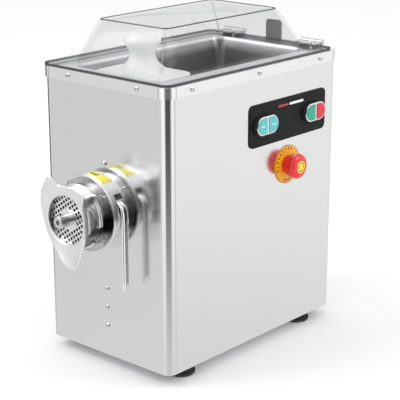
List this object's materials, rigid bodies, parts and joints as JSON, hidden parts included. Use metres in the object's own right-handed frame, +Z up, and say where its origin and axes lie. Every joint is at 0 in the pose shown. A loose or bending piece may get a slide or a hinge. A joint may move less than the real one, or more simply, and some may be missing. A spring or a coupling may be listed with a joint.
{
  "type": "electric meat grinder",
  "caption": "Countertop electric meat grinder: stainless cabinet, front mincing head with ring nut, hopper tray under a hinged clear hood, side push-buttons and emergency stop.",
  "frame": {"origin": "on the floor, midway between the four feet", "axes": "+Z up, -Y towards the mincing head (front), +X towards the side with the controls"},
  "size_m": [0.2935, 0.4825, 0.505],
  "materials": {
    "stainless_panel": "fine brushed, bright",
    "stainless_trim": "fine brushed, bright",
    "stainless_tray": "satin drawn sheet",
    "bright_screw": "bright",
    "zinc_steel": "zinc plated, dull",
    "foot_rubber": "matte",
    "hood_clear": "clear, slightly smoky, glossy",
    "hinge_steel": "satin",
    "stop_tab": "grey, satin",
    "white_plastic": "smooth, white",
    "cast_head": "cast stainless, polished",
    "polished_lever": "mirror polished",
    "worm_steel": "turned steel",
    "cast_aluminium": "cast, satin",
    "bronze": "turned",
    "core_iron": "laminated, oiled",
    "black_plastic": "moulded, fine grain",
    "control_black": "black, satin",
    "bezel_bright": "bright",
    "cap_turquoise": "moulded",
    "cap_green": "moulded",
    "cap_red": "moulded",
    "disc_yellow": "printed plate, satin",
    "mushroom_red": "moulded"
  },
  "bodies": {
    "housing": {"cabinet_shell": "stainless_panel", "rear_panel": "stainless_panel", "collar_strips": "stainless_trim", "corner_caps": "stainless_trim", "hopper_tray": "stainless_tray", "throat_tube": "stainless_tray", "cabinet_screws": "bright_screw", "drum_screws": "bright_screw", "head_stud": "bright_screw", "pivot_pins": "bright_screw", "base_plate": "zinc_steel", "foot_fixings": "zinc_steel", "drive_supports": "zinc_steel", "foot_front_left": "foot_rubber", "foot_front_right": "foot_rubber", "foot_rear_left": "foot_rubber", "foot_rear_right": "foot_rubber", "hinge_base_left": "hinge_steel", "hinge_base_right": "hinge_steel", "hood_stop": "stop_tab", "head_drum": "cast_head", "barrel": "cast_head", "gearbox_housing": "cast_aluminium", "gearbox_cover": "cast_aluminium", "motor_housing": "cast_aluminium", "motor_shield": "cast_aluminium", "start_capacitor": "cast_aluminium", "gearbox_bushes": "bronze", "stator_core": "core_iron", "fan_cowl": "black_plastic", "relay_enclosure": "black_plastic", "cable_gland": "black_plastic", "switch_base_front": "black_plastic", "switch_base_rear": "black_plastic", "switch_contacts": "black_plastic", "stop_body": "black_plastic", "control_plate": "control_black", "switch_bezel_front": "bezel_bright", "switch_bezel_rear": "bezel_bright", "stop_disc": "disc_yellow"},
    "hood": {"hood": "hood_clear", "hood_screws": "bright_screw", "hinge_leaf_left": "hinge_steel", "hinge_leaf_right": "hinge_steel"},
    "pusher": {"pusher": "white_plastic"},
    "worm_shaft": {"worm": "worm_steel", "knife": "worm_steel", "output_gear": "worm_steel"},
    "motor_rotor": {"rotor": "core_iron", "fan": "black_plastic"},
    "cutting_plate": {"cutting_plate": "cast_head"},
    "ring_nut": {"ring_nut": "cast_head"},
    "clamp_lever": {"clamp_lever": "polished_lever"},
    "cap_front_left": {"cap_front_left": "cap_turquoise"},
    "cap_front_right": {"cap_front_right": "cap_turquoise"},
    "cap_rear_left": {"cap_rear_left": "cap_green"},
    "cap_rear_right": {"cap_rear_right": "cap_red"},
    "stop_plunger": {"stop_plunger": "black_plastic"},
    "stop_head": {"stop_head": "mushroom_red"}
  },
  "joints": [
    {"name": "hood_hinge", "type": "hinge", "parent": "housing", "child": "hood", "pos_m": [0, 0.187, 0.445], "axis": [-1, 0, 0], "range_deg": [0, 95]},
    {"name": "pusher_slide", "type": "slide", "parent": "housing", "child": "pusher", "axis": [0, 0, 1], "range_m": [0, 0.002]},
    {"name": "worm_spin", "type": "hinge", "parent": "housing", "child": "worm_shaft", "pos_m": [0, 0, 0.246], "axis": [0, 1, 0], "continuous": true},
    {"name": "rotor_spin", "type": "hinge", "parent": "housing", "child": "motor_rotor", "pos_m": [0, 0, 0.171], "axis": [0, 1, 0], "continuous": true},
    {"name": "plate_slide", "type": "slide", "parent": "housing", "child": "cutting_plate", "axis": [0, -1, 0], "range_m": [0, 0.0041]},
    {"name": "nut_turn", "type": "hinge", "parent": "cutting_plate", "child": "ring_nut", "pos_m": [0, -0.256, 0.246], "axis": [0, -1, 0], "range_deg": [0, 360]},
    {"name": "lever_swing", "type": "hinge", "parent": "housing", "child": "clamp_lever", "pos_m": [0.04544, -0.214, 0.26915], "axis": [0, -1, 0], "range_deg": [0, 70]},
    {"name": "cap_front_left_press", "type": "slide", "parent": "housing", "child": "cap_front_left", "axis": [-1, 0, 0], "range_m": [0, 0.003], "stiffness_N_per_m": 800, "springref_m": -0.002},
    {"name": "cap_front_right_press", "type": "slide", "parent": "housing", "child": "cap_front_right", "axis": [-1, 0, 0], "range_m": [0, 0.003], "stiffness_N_per_m": 800, "springref_m": -0.002},
    {"name": "cap_rear_left_press", "type": "slide", "parent": "housing", "child": "cap_rear_left", "axis": [-1, 0, 0], "range_m": [0, 0.003], "stiffness_N_per_m": 800, "springref_m": -0.002},
    {"name": "cap_rear_right_press", "type": "slide", "parent": "housing", "child": "cap_rear_right", "axis": [-1, 0, 0], "range_m": [0, 0.003], "stiffness_N_per_m": 800, "springref_m": -0.002},
    {"name": "stop_press", "type": "slide", "parent": "housing", "child": "stop_plunger", "axis": [-1, 0, 0], "range_m": [0, 0.005]},
    {"name": "stop_twist", "type": "hinge", "parent": "stop_plunger", "child": "stop_head", "pos_m": [0.14, 0.0705, 0.279], "axis": [-1, 0, 0], "range_deg": [0, 30], "stiffness_Nm_per_rad": 0.02, "springref_deg": -5.73}
  ],
  "couplings": [
    {"joint": "rotor_spin", "follows": "worm_spin", "ratio": -4},
    {"joint": "plate_slide", "follows": "nut_turn", "m_per_rad": 0.00063662}
  ]
}
